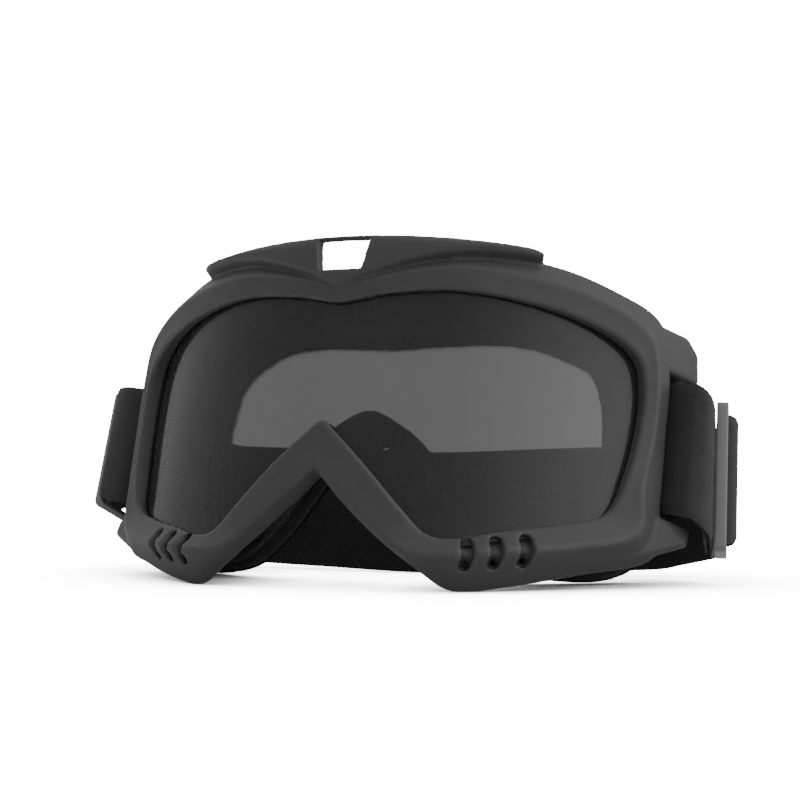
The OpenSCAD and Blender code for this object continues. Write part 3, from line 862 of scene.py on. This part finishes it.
# ---------------------------------------------------------------- strap
def slider_way(k):
    p = SLIDER_PITCH[k]
    return np.array([math.cos(p) * math.cos(SLIDER_TURN), math.cos(p) * math.sin(SLIDER_TURN), -math.sin(p)])


def slider_up(k):
    a = math.sin(SLIDER_PITCH[k]) * math.cos(SLIDER_SPLAY[k])
    b = math.sin(SLIDER_SPLAY[k])
    return np.array([a * math.cos(SLIDER_TURN) - b * math.sin(SLIDER_TURN),
                     a * math.sin(SLIDER_TURN) + b * math.cos(SLIDER_TURN),
                     math.cos(SLIDER_PITCH[k]) * math.cos(SLIDER_SPLAY[k])])


def web_row(k, d, deep):
    """A row of the webbing d past the slider's front bar, as a place and a direction across."""
    way, up = slider_way(k), slider_up(k)
    at = np.array([SLIDER_X[k], SLIDER_Y, SLIDER_Z[k]]) + d * way + deep * np.cross(up, way)
    return np.concatenate([at, up])


def bend_row(k, deep, g, share):
    mid = web_row(k, 0, BEND_R)
    r = BEND_R - deep
    at = [mid[0] + r * math.cos(g), mid[1] + r * math.sin(g), lerp(SLOT_MID, SLIDER_Z[k], share)]
    return np.concatenate([at, lerp(UPRIGHT, slider_up(k), share)])


def bend_share(g):
    return 0.36 + 0.6 * (g - BEND_START) / (SLIDER_TURN - math.pi / 2 - BEND_START)


def bend_rows(k, deep, start):
    return [bend_row(k, deep, g, bend_share(g)) for g in np.linspace(start, SLIDER_TURN - math.pi / 2, 6)]


def webbing(name, rows, steps, wide=WEB_W, side=1):
    """A flat band along rows of a place and a direction across, with soft woven edges."""
    path = curve(rows, steps)
    at, up = path[:, :3], unit(path[:, 3:])
    step = np.linalg.norm(np.diff(at, axis=0), axis=1)
    keep = np.concatenate([[True], step > 1e-6])
    at, up = at[keep], up[keep]
    far = np.concatenate([[0], np.cumsum(np.linalg.norm(np.diff(at, axis=0), axis=1))])
    count = max(int(far[-1] / 0.8), 8)
    even = np.linspace(0, far[-1], count)
    at = np.stack([np.interp(even, far, at[:, i]) for i in range(3)], 1)
    up = unit(np.stack([np.interp(even, far, up[:, i]) for i in range(3)], 1))
    way = np.gradient(at, axis=0)
    out = unit(np.cross(way, up))
    across = np.concatenate([np.linspace(-1, 1, 25), np.linspace(1, -1, 25)])
    face = np.repeat([1.0, -1.0], 25)
    half = wide / 2
    past_edge = np.clip(np.abs(across) * half - (half - EDGE_ROUND), 0, None)
    full = WEB_T / 2 * np.sqrt(np.clip(1 - (past_edge / 0.95) ** 2, 0.04, 1))
    rings, tags = [], []
    for k in range(count):
        edge = half + 0.06 * math.sin(2 * math.pi * even[k] / 1.4)
        swell = 1 + 0.05 * math.sin(2 * math.pi * even[k] / 5.3)
        rings.append(at[k] + np.outer(across * edge, up[k]) + np.outer(face * full * swell, out[k]))
        tags.append(np.stack([np.full(50, even[k]), across * half + face * 100 + 200], 1))
    rings = np.array(rings) * np.array([side, 1, 1])
    obj = fix_normals(tube(name, rings))
    layer = obj.data.uv_layers.new(name="weave")
    tags = np.concatenate(tags)
    loops = np.zeros(len(obj.data.loops), np.int64)
    obj.data.loops.foreach_get("vertex_index", loops)
    layer.data.foreach_set("uv", tags[loops].astype(np.float32).ravel())
    return obj


def half_strap(k):
    """The right half of the band at slider k, from under its front bar to the sagging middle."""
    end = web_row(k, WEB_FAR, 0)
    up = lerp(slider_up(k), UPRIGHT, 0.6)
    rows = [web_row(k, d, 0) for d in (1.3, 3, 9, 18, WEB_FAR - 2, WEB_FAR)]
    rows.append(np.concatenate([[86.5, STRAP_DEPTH + 3, lerp(end[2], -3.4, 0.5)], up]))
    for x, y, z in ((81, STRAP_DEPTH + 4.6, -3.4), (70, STRAP_DEPTH + 4.4, -4.2),
                    (38, STRAP_DEPTH + 1.6, SAG_Z + 1.6)):
        rows.append(np.concatenate([[x, y, z], UPRIGHT]))
    return rows


def strap_loop_rows(k):
    """The webbing from the slider's front bar, round the bend and the post, to the inner tail's end."""
    r = POST_R + GAP + WEB_T / 2
    deep = WEB_T + GAP

    def leg_end(d):
        at = [SLIDER_X[k] + LOOP_END[0], LOOP_END[1] + d, lerp(SLOT_MID, SLIDER_Z[k], LOOP_SHARE)]
        return np.concatenate([at, lerp(UPRIGHT, slider_up(k), LOOP_SHARE)])

    turn = []
    for a in np.radians(np.arange(-112, -336, -28)):
        at = [POST_AT[0] + r * math.cos(a), POST_AT[1] + r * math.sin(a), SLOT_MID]
        turn.append(np.concatenate([at, UPRIGHT]))
    outer = [lerp(leg_end(0), turn[0], t) for t in (0, 0.25, 0.5, 0.75)]
    inner = [lerp(turn[-1], leg_end(deep), t) for t in (0.33, 0.66, 1)]
    front = [web_row(k, 1.3, 0), web_row(k, 0.4, 0)] + bend_rows(k, 0, BEND_START)[::-1][:-1]
    back = bend_rows(k, deep, TAIL_START)
    back += [web_row(k, d, deep) for d in (1, 3, 9, 15, TAIL_FAR - 2, TAIL_FAR)]
    return front + outer + turn + inner + back


def flip_row(row):
    return row * np.array([-1, 1, 1, -1, 1, 1])


def build_strap():
    middle = [np.concatenate([[0, STRAP_DEPTH, SAG_Z], UPRIGHT])]
    rows = half_strap(0) + middle + [flip_row(r) for r in half_strap(1)[::-1]]
    band = webbing("strap_webbing", rows, 10)
    keep_above_table(band, 0.1 * MM)
    finish_piece(band, WEBBING, "strap", ["strap_band"], sharp_deg=60)
    for k, (side, word) in enumerate(((1, "right"), (-1, "left"))):
        loop = webbing(f"{word}_strap_loop", strap_loop_rows(k), 8, side=side)
        stands_for = [f"{word}_post_loop", f"{word}_strap_tail"]
        finish_piece(loop, WEBBING, None, stands_for, sharp_deg=60)
        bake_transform(loop)


build_strap()


# ---------------------------------------------------------------- sliders
def slider_frame(k):
    """Origin and axes at slider k on the right: along the webbing, towards the head, up."""
    turn, pitch, splay = SLIDER_TURN, SLIDER_PITCH[k], SLIDER_SPLAY[k]
    m = (Matrix.Rotation(turn, 3, "Z") @ Matrix.Rotation(pitch, 3, "Y") @ Matrix.Rotation(-splay, 3, "X"))
    return np.array([SLIDER_X[k], SLIDER_Y, SLIDER_Z[k]]), np.array(m)


def at_slider(k, side, points):
    origin, axes = slider_frame(k)
    return (np.asarray(points, float) @ axes.T + origin) * np.array([side, 1, 1])


def rounded_box_loop(x0, x1, z0, z1, r, n=5):
    """A rectangle with round corners, as points."""
    out = []
    corners = ((x1 - r, z1 - r, 0), (x0 + r, z1 - r, 90), (x0 + r, z0 + r, 180), (x1 - r, z0 + r, 270))
    for cx, cz, a0 in corners:
        for a in np.radians(np.linspace(a0, a0 + 90, n)):
            out.append((cx + r * math.cos(a), cz + r * math.sin(a)))
    return out


def bevelled_plate(name, loops, thick, bevel):
    """A flat plate with holes and rounded edges, in its own X and Y, centred on Z; millimetres."""
    data = bpy.data.curves.new(name, "CURVE")
    data.dimensions, data.fill_mode = "2D", "BOTH"
    for loop in loops:
        line = data.splines.new("POLY")
        line.points.add(len(loop) - 1)
        line.use_cyclic_u = True
        for p, (x, z) in zip(line.points, loop):
            p.co = (x, z, 0, 1)
    data.extrude, data.bevel_depth, data.bevel_resolution, data.offset = thick / 2 - bevel, bevel, 3, -bevel
    obj = bpy.data.objects.new(name, data)
    bpy.context.scene.collection.objects.link(obj)
    bpy.context.view_layer.update()
    mesh = bpy.data.meshes.new_from_object(obj.evaluated_get(bpy.context.evaluated_depsgraph_get()))
    co = np.array([v.co for v in mesh.vertices], float).reshape(-1, 3)
    faces = [list(p.vertices) for p in mesh.polygons]
    bpy.data.objects.remove(obj)
    return co, faces


def build_slider(k, side, word):
    window = (SLIDER_LEN - 3 * SLIDER_BAR) / 2
    slot_half = (WEB_W + 1) / 2
    loops = [rounded_box_loop(0, SLIDER_LEN, -SLIDER_H / 2, SLIDER_H / 2, 2.0, 9)]
    for x in (SLIDER_BAR, 2 * SLIDER_BAR + window):
        loops.append(rounded_box_loop(x, x + window, -slot_half, slot_half, 0.7))
    thick = BAR_T + SWELL_IN + SWELL_OUT
    co, faces = bevelled_plate("plate", loops, thick, 0.45)
    points = np.stack([co[:, 0], SWELL_IN - BAR_LOW - thick / 2 + co[:, 2], co[:, 1]], 1)
    obj = fix_normals(mesh_object(f"{word}_slider_plate", at_slider(k, side, points), faces))
    weld = obj.modifiers.new("weld", "WELD")
    weld.merge_threshold = 0.01 * MM
    applied(obj)
    finish_piece(obj, ACETAL, f"{word}_slider_body", [f"{word}_slider"], sharp_deg=35)


def build_fold(k, side, word):
    """Webbing that arches over the slider's middle bar, with its sewn legs under the bar."""
    inlay = 1.3 + GAP
    over = BAR_LOW + BAR_T + GAP
    r = inlay + WEB_T / 2
    low = WEB_T / 2 + 0.4
    middle = SLIDER_LEN / 2
    rows = []
    profile = [(-r, -low), (-r, -0.5 * over)]
    profile += [(-r * math.cos(a), -over - 1.12 * r * math.sin(a)) for a in np.linspace(0, math.pi, 9)]
    profile += [(r, -0.5 * over), (r, -low)]
    origin, axes = slider_frame(k)
    for x, y in profile:
        rows.append(np.concatenate([axes @ np.array([middle + x, y, 0]) + origin, axes @ UPRIGHT]))
    obj = webbing(f"{word}_sewn_fold_web", rows, 8, wide=WEB_W - 1.6, side=side)
    co = coords(obj)
    centre = place(at_slider(k, side, [[middle, 0, 0]]))[0]
    axis_out = place(at_slider(k, side, [[middle, -1, 0]]))[0] - centre
    axis_up = place(at_slider(k, side, [[middle, 0, 1]]))[0] - centre
    axis_out, axis_up = unit(axis_out), unit(axis_up)
    out, up = (co - centre) @ axis_out, (co - centre) @ axis_up
    crown = np.clip((out - over * MM) / (1.9 * r * MM), 0, 1)
    half = (WEB_W - 1.6) / 2 * MM
    near = np.clip((np.abs(up) - half + 5 * MM) / (5 * MM), 0, 1)
    co -= np.outer(np.sign(up) * near ** 2 * crown ** 2 * 2.0 * MM, axis_up)
    set_coords(obj, co)
    finish_piece(obj, WEBBING, f"{word}_slider_body", [f"{word}_sewn_fold"], sharp_deg=60)


def build_tacks(k, side, word):
    """Stitches that close the sewn end: one bead of thread on each leg for each stitch."""
    pitch = 3
    count = int((WEB_W - 8) // pitch)
    leg = 1.3 + GAP + WEB_T
    deep = (BAR_LOW + WEB_T / 2 + 0.3) / 2
    points, faces = [], []
    for i in range(count + 1):
        z = (i - count / 2) * pitch
        for x in (-leg, leg):
            base = len(points)
            for a in np.linspace(0, math.pi, 9):
                r = 0.26 * math.sin(a) + 0.02
                for b in np.linspace(0, 2 * math.pi, 8, endpoint=False):
                    points.append((SLIDER_LEN / 2 + x + r * math.cos(b), -deep + r * math.sin(b),
                                   z - 1.05 * math.cos(a)))
            faces += [tuple(base + v for v in f) for f in ring_faces(9, 8, False)]
    obj = fix_normals(mesh_object(f"{word}_tack_stitches", at_slider(k, side, points), faces))
    finish_piece(obj, THREAD, f"{word}_slider_body", [f"{word}_bar_tacks"], sharp_deg=60)


for k, (side, word) in enumerate(((1, "right"), (-1, "left"))):
    build_slider(k, side, word)
    build_fold(k, side, word)
    build_tacks(k, side, word)


# ---------------------------------------------------------------- floor, light and camera
# How bright the white stage looks to the camera, and how bright through the tinted lens
WHITE_LEVEL, THROUGH_LEVEL = 16.0, 0.75
# Reach of the contact shadow in metres, and how fast it darkens
CONTACT_REACH, CONTACT_POWER = 0.04, 1.8
AMBIENT = 0.14
# Azimuth, elevation, sharpness and strength of each soft light: right, left, top, front, lens top
LOBES = ((88, 26, 3.5, 3.0), (-105, 25, 3.0, 0.7), (0, 90, 2.0, 0.55),
         (42, -4, 5.0, 0.65), (-22, 42, 16.0, 0.3))


def seen_white(tree):
    """Whether the camera sees the stage, and how bright: less through the tinted lens."""
    path = node(tree, "ShaderNodeLightPath")
    bare = maths(tree, "LESS_THAN", path.outputs["Transparent Depth"], 0.5)
    level = maths(tree, "ADD", maths(tree, "MULTIPLY", bare, WHITE_LEVEL - THROUGH_LEVEL), THROUGH_LEVEL)
    return path.outputs["Is Camera Ray"], level


def build_floor():
    m = bpy.data.materials.new("floor_white")
    m.use_nodes = True
    t = m.node_tree
    t.nodes.clear()
    seen, white = seen_white(t)
    shade = node(t, "ShaderNodeAmbientOcclusion", {"Distance": CONTACT_REACH}, samples=12).outputs["AO"]
    level = maths(t, "MULTIPLY", maths(t, "POWER", shade, CONTACT_POWER), white)
    bright = node(t, "ShaderNodeEmission", {"Color": (1, 1, 1, 1), "Strength": level})
    plain = node(t, "ShaderNodeBsdfDiffuse", {"Color": (0.85, 0.85, 0.85, 1), "Roughness": 1.0})
    mix = node(t, "ShaderNodeMixShader", {"Fac": seen})
    t.links.new(plain.outputs[0], mix.inputs[1])
    t.links.new(bright.outputs[0], mix.inputs[2])
    out = node(t, "ShaderNodeOutputMaterial")
    t.links.new(mix.outputs[0], out.inputs["Surface"])
    reach = 6.0
    corners = [(-reach, -reach, 0), (reach, -reach, 0), (reach, reach, 0), (-reach, reach, 0)]
    floor = mesh_object("floor", [(x, y, z - 0.0002) for x, y, z in corners], [(0, 1, 2, 3)], at_rest=False)
    floor.data.materials.append(m)


def lobe(tree, direction, azimuth, elevation, sharp, strength):
    """A soft patch of light in the surroundings; azimuth 0 is in front, 90 on the +X side."""
    a, e = math.radians(azimuth), math.radians(elevation)
    axis = (math.sin(a) * math.cos(e), -math.cos(a) * math.cos(e), math.sin(e))
    dot = node(tree, "ShaderNodeVectorMath", {0: direction, 1: axis}, operation="DOT_PRODUCT")
    facing = maths(tree, "MAXIMUM", dot.outputs["Value"], 0.0)
    return maths(tree, "MULTIPLY", maths(tree, "POWER", facing, sharp), strength)


def build_world():
    """Soft studio surroundings: wide glows at the sides, above and in front, and a white backdrop."""
    world = bpy.data.worlds.new("studio")
    bpy.context.scene.world = world
    world.use_nodes = True
    t = world.node_tree
    t.nodes.clear()
    direction = node(t, "ShaderNodeTexCoord").outputs["Generated"]
    level = AMBIENT
    for azimuth, elevation, sharp, strength in LOBES:
        level = maths(t, "ADD", level, lobe(t, direction, azimuth, elevation, sharp, strength))
    soft = node(t, "ShaderNodeBackground", {"Color": (1.0, 1.0, 1.0, 1), "Strength": level})
    seen, white = seen_white(t)
    bright = node(t, "ShaderNodeBackground", {"Color": (1, 1, 1, 1), "Strength": white})
    mix = node(t, "ShaderNodeMixShader", {"Fac": seen})
    t.links.new(soft.outputs[0], mix.inputs[1])
    t.links.new(bright.outputs[0], mix.inputs[2])
    out = node(t, "ShaderNodeOutputWorld")
    t.links.new(mix.outputs[0], out.inputs["Surface"])


def build_camera():
    """The camera stands 700 mm from the nose notch, level with it, 28.6 degrees to its side."""
    target = place([[0, 0, 0]])[0]
    azimuth, distance, roll = math.radians(28.6), 0.7, math.radians(-0.6)
    data = bpy.data.cameras.new("camera")
    data.sensor_width, data.lens = 36.0, 103.95
    data.shift_x, data.shift_y = 0.0941, 0.0259
    data.clip_start, data.clip_end = 0.01, 50.0
    camera = bpy.data.objects.new("camera", data)
    at = Vector(target) + Vector((math.sin(azimuth) * distance, -math.cos(azimuth) * distance, 0.0015))
    look = (Vector(target) - at).normalized()
    camera.rotation_mode = "QUATERNION"
    camera.location = at
    camera.rotation_quaternion = look.to_track_quat("-Z", "Y") @ Matrix.Rotation(roll, 4, "Z").to_quaternion()
    bpy.context.scene.collection.objects.link(camera)
    bpy.context.scene.camera = camera


build_floor()
build_world()
build_camera()
